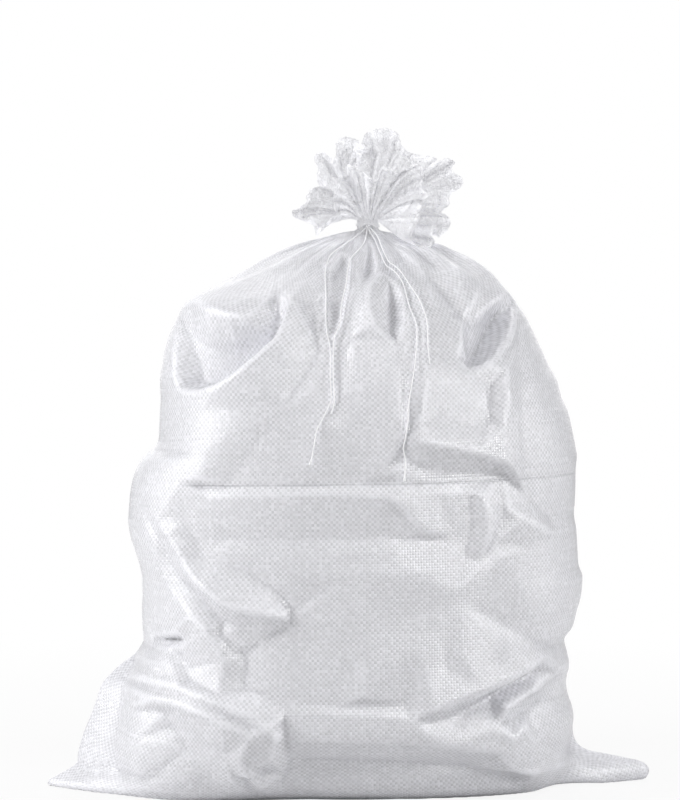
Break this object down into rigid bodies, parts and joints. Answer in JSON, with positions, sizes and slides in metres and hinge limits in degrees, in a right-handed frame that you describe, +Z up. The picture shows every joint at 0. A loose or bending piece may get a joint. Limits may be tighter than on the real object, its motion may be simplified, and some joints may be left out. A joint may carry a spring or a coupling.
{
  "type": "rubble sack",
  "caption": "Filled woven plastic rubble sack standing upright, its neck gathered and tied with thin twine under a frilled mouth.",
  "frame": {"origin": "middle of the sack's outline on the floor, with z = 0 at the flat base it stands on", "axes": "+Z up through the tied neck, +X towards the sack's right-hand bottom corner, and the front with the twine's loose ends faces -Y"},
  "size_m": [0.5882, 0.3258, 0.6391],
  "materials": {
    "woven_cloth": "white woven polypropylene tape cloth, satin with bright crinkles",
    "twine": "thin translucent white polypropylene twine"
  },
  "bodies": {
    "root": {"sack": "woven_cloth", "neck_tie": "twine", "tie_end_left_long": "twine", "tie_end_left_short": "twine", "tie_end_right_long": "twine", "tie_end_right_short": "twine"}
  },
  "joints": []
}
